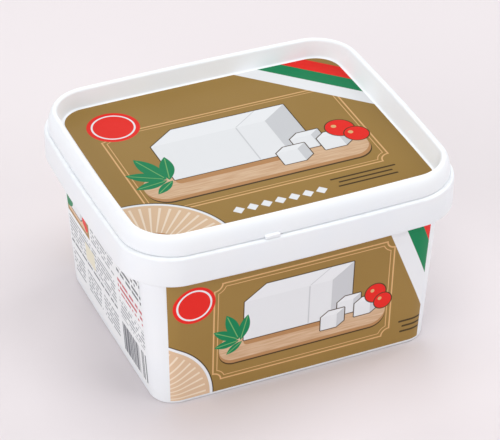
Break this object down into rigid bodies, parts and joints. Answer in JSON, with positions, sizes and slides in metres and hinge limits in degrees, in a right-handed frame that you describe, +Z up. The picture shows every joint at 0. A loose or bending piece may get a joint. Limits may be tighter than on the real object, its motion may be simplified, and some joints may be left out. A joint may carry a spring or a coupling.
{
  "type": "rectangular cheese tub",
  "caption": "Shut rectangular white plastic tub of brined white cheese, with a hanging collar, a lid with a raised rim and a stacking recess, and printed labels.",
  "frame": {"origin": "on the table, under the middle of the tub", "axes": "+Z up, +X along the long sides, -Y towards the front label"},
  "size_m": [0.1702, 0.1482, 0.1014],
  "materials": {
    "tub_plastic": "satin",
    "lid_plastic": "satin",
    "gold_print": "satin",
    "white_print": "satin"
  },
  "bodies": {
    "root": {"tub": "tub_plastic", "lid": "lid_plastic", "lid_label": "gold_print", "front_label": "gold_print", "back_label": "gold_print", "left_label": "white_print", "right_label": "white_print"}
  },
  "joints": []
}
